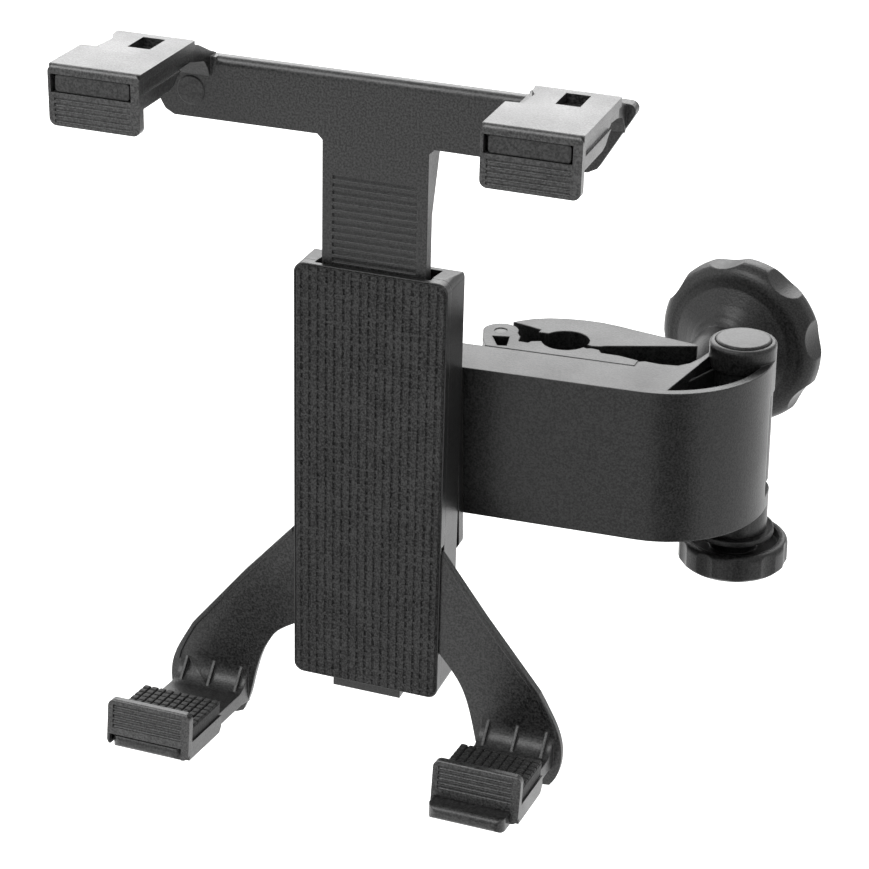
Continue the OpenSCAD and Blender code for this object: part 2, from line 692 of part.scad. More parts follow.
module arm_outline() {
    union() {
        polygon([[arm_left, -arm_front], [bend_x, -arm_front], [bend_x, seam_front],
            [arm_left, seam_front]]);
        intersection() {
            translate([bend_x, bend_y]) circle(bend_r, $fn = 144);
            polygon([[shelf_x, -arm_front - 1], [bend_x + bend_r + 1, -arm_front - 1],
                [bend_x + bend_r + 1, hinge_y],
                [hinge_x - barrel_r + 0.4, hinge_y], [hinge_x - 10.9, 0.1], [hinge_x - 12.7, -4.2],
                    [hinge_x - 15.5, -7],
                [hinge_x - 20.6, -7.7], [shelf_x + 2, -7.1], [shelf_x, -8]]);
        }
        polygon([[shelf_x, -arm_front + 1], [hinge_x - 16, -arm_front + 1], [hinge_x - 16, -7.2],
            [hinge_x - 20.6, -7.7],
            [shelf_x + 2, -7.1], [shelf_x, -8]]);
        polygon([[hinge_x, bend_y - 0.5], [bend_x + bend_r, bend_y - 0.5], [bend_x + bend_r, hinge_y],
            [hinge_x, hinge_y]]);
        translate([hinge_x, hinge_y]) circle(barrel_r, $fn = fine);
    }
}

// Space inside the bend, in front of the hinge
module bend_space() {
    intersection() {
        translate([bend_x, bend_y]) circle(bend_r - arm_wall, $fn = 144);
        polygon([[hinge_x - 14.2, -arm_front + arm_wall], [hinge_x + 20, -arm_front],
            [hinge_x + 20, hinge_y + 1],
            [hinge_x - 7.6, hinge_y + 1], [hinge_x - 8.6, 2.6]]);
    }
}

collar_edge = 1.1;
module arm() {
    inner = arm_top - arm_wall;
    color(black) difference() {
        union() {
            difference() {
                translate([0, 0, -arm_top]) linear_extrude(arm_h) arm_outline();
                // Channel behind the front wall, open at the back
                translate([0, 0, -inner]) linear_extrude(2 * inner)
                    polygon([[arm_left + arm_wall, -arm_front + arm_wall],
                        [hinge_x - 17, -arm_front + arm_wall],
                        [hinge_x - 11.4, 1.8], [hinge_x - 11.4, 10], [arm_left + arm_wall, 10]]);
                // Pocket in the top of the bend
                translate([0, 0, window_top + 2]) linear_extrude(arm_h) difference() {
                    bend_space();
                    translate([hinge_x, hinge_y]) circle(barrel_r - 0.7, $fn = fine);
                }
                // Hollow of the bend, from below
                translate([0, 0, -arm_top - 1]) linear_extrude(window_low + arm_top - 1)
                    difference() {
                        bend_space();
                        translate([hinge_x, hinge_y]) circle(barrel_r - 0.7, $fn = fine);
                    }
            }
            translate([hinge_x, hinge_y, arm_top - 2.4]) rotate_extrude($fn = fine)
                polygon(concat([[0, 0], [barrel_r, 0]],
                    [for (a = [0 : 15 : 90]) [barrel_r - collar_edge * (1 - cos(a)),
                        collar_h + 2.4 - collar_edge * (1 - sin(a))]], [[0, collar_h + 2.4]]));
            // Ribs across the pocket
            intersection() {
                translate([0, 0, window_top]) linear_extrude(arm_top - 2.6 - window_top) bend_space();
                for (x = [5.4, 8.2])
                    translate([hinge_x - x, bend_y, 0]) rotate([0, 0, -24])
                        block([-0.4, -40, 0], [0.4, 40, arm_h]);
            }
            translate([hinge_x, hinge_y, barrel_low])
                cylinder(h = window_low - barrel_low, r = barrel_r, $fn = fine);
            // Boss that carries the head's plate
            y_rod(-swivel_x, -swivel_drop, 10, -arm_front + 1, -seam_y - 4, fine);
            for (z = [-12, 12])
                block([arm_left + 1, -arm_front + 1, z - 0.9], [hinge_x - 18, seam_front - 6, z + 0.9]);
        }
        // Window in which the clamp's knuckle turns
        translate([0, 0, window_low]) linear_extrude(window_top - window_low)
            translate([hinge_x - 40, 2]) square([80, 60]);
        translate([hinge_x, hinge_y, window_low])
            cylinder(h = window_top - window_low, r = barrel_r + 1, $fn = fine);
        translate([hinge_x, hinge_y, barrel_low - 1])
            cylinder(h = 2 * arm_h + 20, r = hinge_bolt_r + fit, $fn = small);
        translate([hinge_x, hinge_y, collar_top - 1.8]) cylinder(h = 5, r = barrel_r - 1.5, $fn = fine);
        translate([hinge_x, hinge_y, collar_top - 6]) cylinder(h = 6, r = 6.2, $fn = small);
        y_rod(-swivel_x, -swivel_drop, swivel_r + fit, -arm_front - 10, 0, fine);
        for (s = [-1, 1])
            y_rod(-swivel_x + s * 13, -swivel_drop, 1.6, -arm_front - 1, -arm_front + 8);
    }
}

// Plate that the head turns on, screwed to the arm
module head_plate() {
    color(black) difference() {
        translate([-swivel_x, 0, plate_top - plate_h / 2]) upright(-arm_front - plate_t, -arm_front)
            plain_round_rect(plate_w, plate_h, 2.4);
        y_rod(-swivel_x, -swivel_drop, swivel_r + fit, -arm_front - 10, 0, fine);
        for (s = [-1, 1]) {
            y_rod(-swivel_x + s * 13, -swivel_drop, 1.6, -arm_front - 10, 0);
            y_rod(-swivel_x + s * 13, -swivel_drop, 3, -arm_front - 10, -arm_front - plate_t + 1.8);
        }
    }
}

module plate_screws() {
    color(steel)
        for (s = [-1, 1]) {
            y_rod(-swivel_x + s * 13, -swivel_drop, 1.6, -arm_front - plate_t + 1, -arm_front + 8);
            y_rod(-swivel_x + s * 13, -swivel_drop, 2.8, -arm_front - plate_t + 0.3,
                -arm_front - plate_t + 1.8);
        }
}

// Hinge hardware
washer_h = 1.6;
hub_proud = 1.6;
low_knob_top = barrel_low - washer_h - hub_proud;
module hinge_bolt() {
    color(steel) translate([hinge_x, hinge_y, 0]) union() {
        translate([0, 0, low_knob_top - low_knob_h + 1.2])
            cylinder(h = collar_top - 6 + eps - (low_knob_top - low_knob_h + 1.2), r = hinge_bolt_r,
                $fn = small);
        translate([0, 0, collar_top - 6]) cylinder(h = 3.6, r = 5.5, $fn = 6);
    }
}

module bolt_cap() {
    color(black) translate([hinge_x, hinge_y, collar_top - 1.8]) union() {
        cylinder(h = 2, r = barrel_r - 1.7, $fn = fine);
        translate([0, 0, 2]) cylinder(h = 0.4, r1 = barrel_r - 1.7, r2 = barrel_r - 2.2, $fn = fine);
    }
}

module friction_washer() {
    color(rubber) translate([hinge_x, hinge_y, window_low]) difference() {
        cylinder(h = -knuckle_low - window_low, r = barrel_r - 2.4, $fn = fine);
        translate([0, 0, -1]) cylinder(h = 8, r = hinge_bolt_r + fit, $fn = small);
    }
}

module pressure_washer() {
    color(black) translate([hinge_x, hinge_y, barrel_low - washer_h]) difference() {
        cylinder(h = washer_h, r = low_knob_r - 4.3, $fn = fine);
        translate([0, 0, -1]) cylinder(h = 8, r = hinge_bolt_r + fit, $fn = small);
    }
}

module hinge_knob() {
    flats = 10;
    knob_edge = 1.7;
    color(black) translate([hinge_x, hinge_y, low_knob_top - low_knob_h]) difference() {
        union() {
            rotate_extrude($fn = fine) polygon(concat([[0, 0], [low_knob_r - 1, 0], [low_knob_r, 1]],
                [for (a = [0 : 15 : 90]) [low_knob_r - knob_edge * (1 - cos(a)),
                    low_knob_h - knob_edge * (1 - sin(a))]], [[0, low_knob_h]]));
            translate([0, 0, low_knob_h - 3]) cylinder(h = 3 + hub_proud, r = 7, $fn = small);
        }
        for (i = [0 : flats - 1])
            rotate([0, 0, i * 360 / flats]) translate([low_knob_r + 9.4, 0, -1])
                cylinder(h = 20, r = 10, $fn = small);
        translate([0, 0, low_knob_h - 3]) difference() {
            cylinder(h = 5, r = low_knob_r - 2.6, $fn = fine);
            translate([0, 0, -1]) cylinder(h = 7, r = 7, $fn = small);
        }
        translate([0, 0, 1.2]) cylinder(h = 20, r = hinge_bolt_r + fit, $fn = small);
    }
}

// Clamp body: fixed jaw, fork for the moving jaw and knuckle in the hinge
eye_r = 5.2;
pin_y = 1.1;
fork_z = 12.8;
module fixed_jaw_outline() {
    difference() {
        polygon([[-21, seam_back], [shelf_x - 0.15, seam_back], [shelf_x - 0.15, -7.2], [17.7, -5.6],
            [12.2, -5.4],
            [11, -3.5], [8.8, -3.1], [7.4, -3.6], [0, 0], [-7.2, -3], [-9.3, -3.8], [-9.8, -5.1],
                [-12.8, -4.9],
            [-13.4, -1], [-16, -2], [-23, -4]]);
        circle(post_r, $fn = 96);
    }
}

module lug_outline() {
    union() {
        translate([-pin_x, pin_y]) circle(eye_r, $fn = fine);
        polygon([[-21.2, -10], [-23.4, -6], [-pin_x - eye_r + 0.15, pin_y - 1], [-pin_x, pin_y],
            [-pin_x + eye_r, pin_y],
            [-13.2, -2], [-12.8, -4.9], [-12.8, -8]]);
    }
}

module clamp_body() {
    color(black) difference() {
        union() {
            translate([0, 0, -arm_top]) linear_extrude(arm_h) fixed_jaw_outline();
            translate([0, 0, fork_z]) linear_extrude(arm_top - fork_z) lug_outline();
            translate([0, 0, -arm_top]) linear_extrude(arm_top - fork_z) lug_outline();
            // Neck to the knuckle
            translate([0, 0, -knuckle_low]) linear_extrude(knuckle_h)
                polygon([[shelf_x - 4, seam_back], [hinge_x - 20, -10.6], [hinge_x - 13.8, -5.4],
                    [hinge_x - 12.2, 1.4],
                    [hinge_x - 11.6, 2.6], [hinge_x - 8, 3.2], [hinge_x, 3.2], [hinge_x, hinge_y + 4],
                    [hinge_x - 12, hinge_y + 4], [hinge_x - 12.8, 5], [hinge_x - 16.2, 0.5],
                        [hinge_x - 20.4, -5.2],
                    [shelf_x - 1, -7.4], [shelf_x - 4, -6.4]]);
            translate([hinge_x, hinge_y, -knuckle_low])
                cylinder(h = knuckle_h, r = barrel_r - 0.4, $fn = fine);
        }
        // Fork for the moving jaw's eye
        translate([-pin_x, pin_y, -fork_z]) cylinder(h = 2 * fork_z, r = eye_r + 0.7, $fn = fine);
        translate([-pin_x, pin_y, -fork_z]) linear_extrude(2 * fork_z)
            polygon([[-8, -3], [8, -3], [8, 12], [-8, 12]]);
        translate([-pin_x, pin_y, -arm_h]) cylinder(h = 2 * arm_h, r = pin_r, $fn = small);
        // Lightening pocket beside the pin
        translate([0, 0, arm_top - 9]) linear_extrude(20)
            polygon([[-21.2, -3.6], [-16.2, -2.6], [-14.9, -9.2], [-17.6, -9.8]]);
        // Slot and pocket for the bolt and its nut
        bolt_frame() {
            translate([0, 0, -40]) cylinder(h = 40, r = nut_hole + 0.4, $fn = small);
            translate([0, 0, nut_s]) cube([11, 11, 4.2], center = true);
        }
        translate([hinge_x, hinge_y, -arm_h])
            cylinder(h = 2 * arm_h, r = hinge_bolt_r + fit, $fn = small);
        // Teeth beside the post
        for (z = [-20 : 4 : 20]) translate([8.4, -3.6, z]) block([-2, 0.2, 0], [4, 2, 1.6]);
    }
}

module jaw_pin() {
    color(steel) translate([-pin_x, pin_y, -arm_top + 0.2]) union() {
        cylinder(h = arm_h - 0.4, r = pin_r - 0.05, $fn = small);
    }
}

// The bolt's own frame: Z runs along the bolt towards the knob, from the middle of the moving jaw
bolt_x = 19.8;
bolt_y = 8;
bolt_z = -0.8;
nut_s = -16.6;
nut_hole = 4.8;
module bolt_frame() {
    translate([bolt_x, bolt_y, bolt_z]) rotate([0, 0, -bolt_yaw]) rotate([-90, 0, 0]) children();
}

module clamp_nut() {
    color(steel) bolt_frame() translate([0, 0, nut_s]) difference() {
        cube([10.9, 10.9, 4.1], center = true);
        cylinder(h = 10, r = nut_hole, center = true, $fn = small);
    }
}

jaw_face = 6.2;
module moving_jaw() {
    eye_half = fork_z - 0.3;
    color(black) difference() {
        union() {
            translate([0, 0, -arm_top]) linear_extrude(arm_h) difference() {
                polygon([[-9.2, 2.9], [-9.1, 5.3], [-12.8, 6.6], [-16.1, 7.6], [-18.6, 8.2], [-17, 9.9],
                    [-13.6, 12.6],
                    [-9.2, 14.6], [-4.4, 15.8], [1, 16.4], [6.5, 16.3], [12, 15.3], [17.2, 13.9],
                        [25.5, 11.9], [32, 10.4],
                    [36.4, 9.4], [37.1, 8.8], [36.9, 8.2], [24.1, 3.9], [12, -0.2], [10.8, -1],
                        [8.4, -1.5], [7.2, -1.2], [0, 0], [-6.4, 3.4]]);
                circle(post_r, $fn = 96);
                translate([-pin_x, pin_y]) circle(eye_r + 1, $fn = fine);
            }
            translate([0, 0, -eye_half]) linear_extrude(2 * eye_half) union() {
                translate([-pin_x, pin_y]) circle(eye_r, $fn = fine);
                polygon([[-pin_x + 1, pin_y - 3], [-pin_x + eye_r, pin_y - 0.6], [-9.2, 4], [-9.4, 14],
                    [-13.6, 12], [-17, 9.4],
                    [-pin_x - 2, pin_y + 4]]);
            }
            // Pad that the knob's neck bears on
            bolt_frame() translate([0, 0, 2]) cylinder(h = jaw_face - 2, r = 8, $fn = small);
        }
        translate([-pin_x, pin_y, -arm_h]) cylinder(h = 2 * arm_h, r = pin_r + fit, $fn = small);
        bolt_frame() translate([0, 0, -20]) cylinder(h = 40, r = bolt_r + fit, $fn = small);
        translate([0, 0, -arm_top - 1]) linear_extrude(arm_h + 2)
            polygon([[-7.2, 3.5], [-10, 3.2], [-10, 2], [-6, 2]]);
    }
}

module clamp_bolt() {
    color(steel) bolt_frame() translate([0, 0, nut_s - 6])
        cylinder(h = knob_start + neck_len - 2 - nut_s + 6, r = bolt_r, $fn = small);
}

neck_r = 6.2;
hub_r = 10.8;
knob_start = jaw_face + 0.3;
hub_s = knob_start + neck_len;
rim_s = hub_s + 6.4;
cut_r = 16;
cut_deep = 1.9;
module clamp_knob() {
    near = 5.6;
    far = 4.6;
    rim_end = rim_s + knob_rim;
    color(black) bolt_frame() difference() {
        rotate_extrude($fn = 96)
            polygon(concat([[0, knob_start], [neck_r, knob_start], [neck_r, hub_s - 22],
                [neck_r + 0.7, hub_s - 16],
                [neck_r + 2.2, hub_s - 8], [hub_r - 1.6, hub_s - 1.4], [hub_r - 0.6, hub_s - 0.2],
                [hub_r + 0.4, hub_s + 0.6], [hub_r + 1.4, hub_s + 1.7], [knob_r * 0.55, rim_s - 3],
                [knob_r * 0.64, rim_s - 1.6], [knob_r * 0.72, rim_s - 0.4]],
                [for (a = [0 : 11.25 : 90]) [knob_r - near + near * sin(a),
                    rim_s + near - near * cos(a)]],
                [for (a = [0 : 15 : 90]) [knob_r - far + far * cos(a), rim_end - far + far * sin(a)]],
                [[knob_r * 0.5, rim_end + 0.8], [0, rim_end + 1]]));
        translate([0, 0, knob_start - 1]) cylinder(h = neck_len, r = bolt_r + 0.02, $fn = small);
        for (i = [0 : scallops - 1])
            rotate([0, 0, (i + 0.5) * 360 / scallops + 10])
                translate([knob_r + cut_r - cut_deep, 0, rim_s - 8])
                cylinder(h = 40, r = cut_r, $fn = 96);
    }
}

clamp_body();
jaw_pin();
clamp_nut();
moving_jaw();
clamp_bolt();
clamp_knob();
arm();
head_plate();
plate_screws();
hinge_bolt();
bolt_cap();
friction_washer();
pressure_washer();
hinge_knob();
swivel_screw();
swivel_washer();
rear_shell();
front_shell();
face_pad();
leg_frame();
shell_screws();
release_button();
button_spring();
upper_bracket();
upper_left_jaw();
upper_left_pad();
upper_right_jaw();
upper_right_pad();
lower_left_jaw();
lower_left_pad();
lower_right_jaw();
lower_right_pad();
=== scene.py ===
# %% [markdown]
# # A tablet holder for a headrest post
# The real object is a black plastic holder that clamps round the post of a car's
# headrest. A gripping head with four small jaws turns on a folding arm. Nearly all of
# it is injection moulded plastic, with a rubber face, rubber pads and plated screws.
#
# The solids come from the CAD model and stay where they are. This script gives them
# the looks: soft edges, moulded textures, rubber patterns, lamps and a camera. The
# frame is loaded first, so that every later step can ask it for sizes.

# %% Load the fixed frame
import json
import math
import random

import bpy
import bmesh
from mathutils import Matrix, Vector


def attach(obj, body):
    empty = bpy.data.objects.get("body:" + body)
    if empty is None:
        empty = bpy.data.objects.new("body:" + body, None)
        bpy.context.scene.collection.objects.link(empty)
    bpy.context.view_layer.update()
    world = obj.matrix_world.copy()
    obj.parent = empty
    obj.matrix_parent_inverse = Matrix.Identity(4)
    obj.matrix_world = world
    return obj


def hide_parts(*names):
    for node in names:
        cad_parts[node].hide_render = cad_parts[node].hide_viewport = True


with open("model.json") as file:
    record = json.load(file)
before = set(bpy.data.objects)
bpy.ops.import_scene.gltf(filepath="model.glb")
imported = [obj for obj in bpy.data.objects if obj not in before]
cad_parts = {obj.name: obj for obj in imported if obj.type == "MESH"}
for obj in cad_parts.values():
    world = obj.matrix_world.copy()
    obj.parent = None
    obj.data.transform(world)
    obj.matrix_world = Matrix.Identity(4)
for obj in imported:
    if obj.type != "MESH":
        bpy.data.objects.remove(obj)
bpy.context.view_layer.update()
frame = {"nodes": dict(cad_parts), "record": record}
nodes = frame["nodes"]
scene = bpy.context.scene
MM = 0.001

# %% [markdown]
# ## The camera
# The photograph looks down on the holder from its front right, through a long lens.
# A camera could be placed by eye, but its place was solved once from points that the
# CAD model and the photograph share, so its three axes are written here as they are.
# Blender's camera looks along its own -Z, which is why two of the axes turn round.

# %% Place the camera
LENS_MM = 100.38
SENSOR_MM = 36.0
CAMERA_REACH = 20
camera_spot = Vector((184.14, -619.64, 298.93)) * MM
to_right = Vector((0.941037, 0.338252, -0.005932))
to_top = -Vector((0.139807, -0.404799, -0.903655))
to_back = -Vector((-0.308064, 0.849543, -0.428221))

lens = bpy.data.cameras.new("photo_camera")
lens.lens = LENS_MM
lens.sensor_width = SENSOR_MM
lens.clip_end = CAMERA_REACH
camera = bpy.data.objects.new("photo_camera", lens)
camera.matrix_world = Matrix((to_right, to_top, to_back)).transposed().to_4x4()
camera.matrix_world.translation = camera_spot
scene.collection.objects.link(camera)
scene.camera = camera
scene.view_settings.view_transform = "Standard"
print("camera at", tuple(round(c, 3) for c in camera_spot))

# %% [markdown]
# ## Building with nodes
# A material in Blender is a tree of nodes, and a written tree grows long. Three small
# helpers keep the trees below short: one makes a node and sets its values, one joins
# an output to an input, and one writes a grey as the colour that a socket wants.

# %% Node helpers
def put(tree, kind, at=(0, 0), **values):
    """A new node of that kind, with values set on its properties or inputs."""
    node = tree.nodes.new(kind)
    node.location = at
    for key, value in values.items():
        if hasattr(node, key):
            setattr(node, key, value)
        else:
            node.inputs[key.replace("_", " ")].default_value = value
    return node


def join(tree, source, out, target, into):
    """A link from one node's output to another node's input, each by its name or number."""
    tree.links.new(source.outputs[out], target.inputs[into])


def grey(level):
    """A grey as the colour that a socket wants."""
    return (level, level, level, 1)


print("node helpers ready")

# %% [markdown]
# ## White for whatever looks
# The photograph's background is pure white, yet the light on the holder is soft. One
# way would be more light, but that would wash the black plastic out. So the paper and
# the sky show white only to what looks at them: the camera, and rays that a gloss or
# a clear piece sends out. The light that they give to the holder stays lower.

# %% Mask of the looking rays
def seen_only(tree):
    """A mask that is 1 for the camera's rays and those of gloss and glass, and else 0."""
    ray = put(tree, "ShaderNodeLightPath")
    first = put(tree, "ShaderNodeMath", operation="MAXIMUM")
    second = put(tree, "ShaderNodeMath", operation="MAXIMUM")
    join(tree, ray, "Is Camera Ray", first, 0)
    join(tree, ray, "Is Glossy Ray", first, 1)
    join(tree, first, 0, second, 0)
    join(tree, ray, "Is Transmission Ray", second, 1)
    return second


print("mask ready")

# %% [markdown]
# ## The paper floor
# The holder hangs in a post's grip, so nothing real stands under it. A wide sheet of
# white paper lies a little below the lowest foot and takes the soft shadow. It is a
# matt white, with a faint glow that only the looking rays see.

# %% White paper
PAPER_TONE = 0.93
PAPER_ROUGH = 0.9
PAPER_SHINE = 0.1
PAPER_LIFT = 0.38


def pale_paper():
    """White paper that keeps the shadow. What looks at it sees it lifted to white."""
    made = bpy.data.materials.new("white_paper")
    made.use_nodes = True
    tree = made.node_tree
    surface = tree.nodes["Principled BSDF"]
    surface.inputs["Base Color"].default_value = grey(PAPER_TONE)
    surface.inputs["Roughness"].default_value = PAPER_ROUGH
    surface.inputs["Specular IOR Level"].default_value = PAPER_SHINE
    glow = put(tree, "ShaderNodeEmission", Strength=PAPER_LIFT)
    unlit = put(tree, "ShaderNodeEmission", Strength=0.0)
    pick = put(tree, "ShaderNodeMixShader")
    total = put(tree, "ShaderNodeAddShader")
    join(tree, seen_only(tree), 0, pick, "Fac")
    join(tree, unlit, 0, pick, 1)
    join(tree, glow, 0, pick, 2)
    join(tree, surface, 0, total, 0)
    join(tree, pick, 0, total, 1)
    join(tree, total, 0, tree.nodes["Material Output"], "Surface")
    return made


white_paper = pale_paper()
print("finish", white_paper.name)

# %% [markdown]
# The floor is one flat face, and so is each part of the dark card further on, so one
# helper makes both. A plain plane could be added and scaled, but with its corners
# written down it lies exactly where they say.

# %% Paper floor
FLOOR_Z = -0.21
FLOOR_REACH = 6


def flat_sheet(name, outlines, height, finish):
    """A stage piece of flat four-sided faces, each given by its corners' X and Y."""
    mesh = bpy.data.meshes.new(name)
    corners = [(x, y, height) for outline in outlines for x, y in outline]
    faces = [tuple(range(4 * k, 4 * k + 4)) for k in range(len(outlines))]
    mesh.from_pydata(corners, [], faces)
    mesh.materials.append(finish)
    sheet = bpy.data.objects.new(name, mesh)
    scene.collection.objects.link(sheet)
    return sheet


paper = [(FLOOR_REACH * x, FLOOR_REACH * y) for x, y in ((-1, -1), (1, -1), (1, 1), (-1, 1))]
floor = flat_sheet("floor", [paper], FLOOR_Z, white_paper)
print("floor at", FLOOR_Z)

# %% [markdown]
# ## The sky
# A pale dome fills the dark side of every shape, as the white walls of a studio do.
# It lights with a moderate strength, and shows as pure white to the looking rays.

# %% Pale dome
DOME = 0.66
world = bpy.data.worlds.new("pale_dome")
scene.world = world
world.use_nodes = True
sky = world.node_tree
sky.nodes.clear()
sky_out = put(sky, "ShaderNodeOutputWorld")
dome = put(sky, "ShaderNodeBackground", Color=grey(1), Strength=DOME)
white = put(sky, "ShaderNodeBackground", Color=grey(1), Strength=1.0)
mix = put(sky, "ShaderNodeMixShader")
join(sky, seen_only(sky), 0, mix, "Fac")
join(sky, dome, 0, mix, 1)
join(sky, white, 0, mix, 2)
join(sky, mix, 0, sky_out, "Surface")
print("dome at", DOME)

# %% [markdown]
# ## The soft boxes
# Black plastic has little colour of its own, so what it shows is mostly the lamps in
# its gloss. Three boxes do what the photograph shows. The one at the back is mirrored
# by every level top, which turns pale. The one above the front draws thin bright lines
# on rounded edges and in the feet's inner corners. The one at the left is a weak fill.

# %% Lamps
middle = Vector((-0.02, -0.02, 0.0))


def soft_box(name, offset, width, height, watts):
    """A rectangular lamp at an offset from the holder's middle, which it faces."""
    data = bpy.data.lights.new(name, "AREA")
    data.shape = "RECTANGLE"
    data.size = width
    data.size_y = height
    data.energy = watts
    lamp = bpy.data.objects.new(name, data)
    lamp.location = middle + Vector(offset)
    lamp.rotation_euler = (middle - lamp.location).to_track_quat("-Z", "Y").to_euler()
    lamp.visible_camera = False
    scene.collection.objects.link(lamp)
    return lamp


lamps = [
    soft_box("back_box", (-0.42, 1.15, 0.75), width=1.9, height=0.8, watts=19),
    soft_box("overhead_box", (-0.42, -0.62, 1.05), width=0.60, height=0.60, watts=9),
    soft_box("left_box", (-1.1, -0.35, 0.45), width=0.8, height=0.9, watts=3),
]
print("lamps", [lamp.name for lamp in lamps])

# %% [markdown]
# ## The dark card
# A black object also needs something dark to reflect, or its round walls look flat. In
# the photograph a dark band runs down the arm's bend, where the plastic mirrors the
# unlit place below the camera, and the arm is dark beside the head. So a dark card
# lies on the floor where each of the two mirrors it, and only the gloss can see it.

# %% Card on the floor
CARD_TONE = 0.01
CARD_LIFT = 0.004
BEND_CARD = ((0.06, -0.95), (0.62, -0.75), (0.26, -0.16), (0.06, -0.22))
ARM_CARD = ((-0.16, -0.56), (-0.04, -0.56), (-0.04, -0.38), (-0.16, -0.38))

card_black = bpy.data.materials.new("card_black")
card_black.use_nodes = True
card_surface = card_black.node_tree.nodes["Principled BSDF"]
card_surface.inputs["Base Color"].default_value = grey(CARD_TONE)
card_surface.inputs["Roughness"].default_value = 1.0
card = flat_sheet("dark_card", [BEND_CARD, ARM_CARD], FLOOR_Z + CARD_LIFT, card_black)
for ray in ("camera", "diffuse", "shadow", "transmission", "volume_scatter"):
    setattr(card, "visible_" + ray, False)
print("dark card has", len(card.data.polygons), "parts")

# %% [markdown]
# ## Shared effects
# An effect that several finishes need is built once as a node group, with its own named
# inputs and outputs, and each finish then sets its own values on it. That way a change
# to the grain reaches every plastic at once.

# %% Group helpers
def new_group(name, ins, outs):
    """A shader node group with named inputs (label, kind, value) and outputs (label, kind)."""
    group = bpy.data.node_groups.new(name, "ShaderNodeTree")
    for label, kind, value in ins:
        socket = group.interface.new_socket(label, in_out="INPUT", socket_type="NodeSocket" + kind)
        socket.default_value = value
    for label, kind in outs:
        group.interface.new_socket(label, in_out="OUTPUT", socket_type="NodeSocket" + kind)
    return group, put(group, "NodeGroupInput", (-1000, 0)), put(group, "NodeGroupOutput", (400, 0))


def put_group(tree, group, at, **values):
    """The group as a node in a material, with its inputs set."""
    node = put(tree, "ShaderNodeGroup", at, node_tree=group)
    for key, value in values.items():
        node.inputs[key.replace("_", " ")].default_value = value
    return node


def stretch(tree, at, low, high, to_low=0.0, to_high=1.0):
    """A node that turns the range low to high into to_low to to_high, and stops at its ends."""
    node = put(tree, "ShaderNodeMapRange", at)
    for label, value in (("From Min", low), ("From Max", high), ("To Min", to_low), ("To Max", to_high)):
        node.inputs[label].default_value = value
    return node


print("group helpers ready")

# %% [markdown]
# ## Soft edges and worn edges
# A moulded edge is never sharp: the tool is cut with a small radius, and handling
# polishes it. The Bevel node looks a short way round each point and bends the normal
# over the edge, so edges catch a thin line of light. Where the bent normal leaves the
# true one, there is an edge, and that difference is the mask for wear.

# %% Group: soft edges
def make_soft_edges():
    group, ins, outs = new_group(
        "soft_edges",
        [("Radius", "Float", 0.0004), ("Wear", "Float", 4.0)],
        [("Normal", "Vector"), ("Edge", "Float")],
    )
    bend = put(group, "ShaderNodeBevel", (-400, 100), samples=6)
    plain = put(group, "ShaderNodeNewGeometry", (-400, -100))
    dot = put(group, "ShaderNodeVectorMath", (-200, 0), operation="DOT_PRODUCT")
    turn = put(group, "ShaderNodeMath", (0, 0), operation="SUBTRACT")
    turn.inputs[0].default_value = 1.0
    gain = put(group, "ShaderNodeMath", (150, 0), operation="MULTIPLY", use_clamp=True)
    join(group, ins, "Radius", bend, "Radius")
    join(group, bend, 0, dot, 0)
    join(group, plain, "Normal", dot, 1)
    join(group, dot, "Value", turn, 1)
    join(group, turn, 0, gain, 0)
    join(group, ins, "Wear", gain, 1)
    join(group, bend, 0, outs, "Normal")
    join(group, gain, 0, outs, "Edge")
    return group


soft_edges = make_soft_edges()
print("group", soft_edges.name)

# %% [markdown]
# ## Moulded grain
# The steel tool is etched or spark eroded, and the plastic copies that as a fine, even
# grain. Two noises of different size give it: the small one is the grain itself and
# the large one stands for slow changes where the material cooled unevenly. Plastic
# shows the grain as fine specks. Rubber shows blotches, which are the grain with a
# share of the slow noise added. The grain also lifts the surface a little, as a bump
# on top of the normal that comes in.

# %% Group: moulded grain
SPECK_RANGE = (0.36, 0.64)
BLOTCH_RANGE = (0.49, 0.76)
CLOUD_SHARE = 0.25


def make_moulded_grain():
    group, ins, outs = new_group(
        "moulded_grain",
        [
            ("Scale", "Float", 2600.0), ("Cloud Scale", "Float", 60.0),
            ("Depth", "Float", 0.5), ("Rise", "Float", 0.00012), ("Under", "Vector", (0, 0, 0)),
        ],
        [("Cloud", "Float"), ("Speck", "Float"), ("Blotch", "Float"), ("Normal", "Vector")],
    )
    place = put(group, "ShaderNodeTexCoord", (-800, 0))
    fine = put(group, "ShaderNodeTexNoise", (-600, 100), Detail=2.0, Roughness=0.55)
    slow = put(group, "ShaderNodeTexNoise", (-600, -150), Detail=3.0, Roughness=0.6)
    speck = stretch(group, (-200, 200), *SPECK_RANGE)
    both = put(group, "ShaderNodeMath", (-400, -100), operation="MULTIPLY_ADD")
    both.inputs[1].default_value = CLOUD_SHARE
    blotch = stretch(group, (-200, -100), *BLOTCH_RANGE)
    bump = put(group, "ShaderNodeBump", (-200, -350))
    join(group, place, "Object", fine, "Vector")
    join(group, place, "Object", slow, "Vector")
    join(group, ins, "Scale", fine, "Scale")
    join(group, ins, "Cloud Scale", slow, "Scale")
    join(group, fine, "Fac", speck, "Value")
    join(group, slow, "Fac", both, 0)
    join(group, fine, "Fac", both, 2)
    join(group, both, 0, blotch, "Value")
    join(group, ins, "Depth", bump, "Strength")
    join(group, ins, "Rise", bump, "Distance")
    join(group, ins, "Under", bump, "Normal")
    join(group, fine, "Fac", bump, "Height")
    join(group, slow, "Fac", outs, "Cloud")
    join(group, speck, 0, outs, "Speck")
    join(group, blotch, 0, outs, "Blotch")
    join(group, bump, 0, outs, "Normal")
    return group


moulded_grain = make_moulded_grain()
print("group", moulded_grain.name)

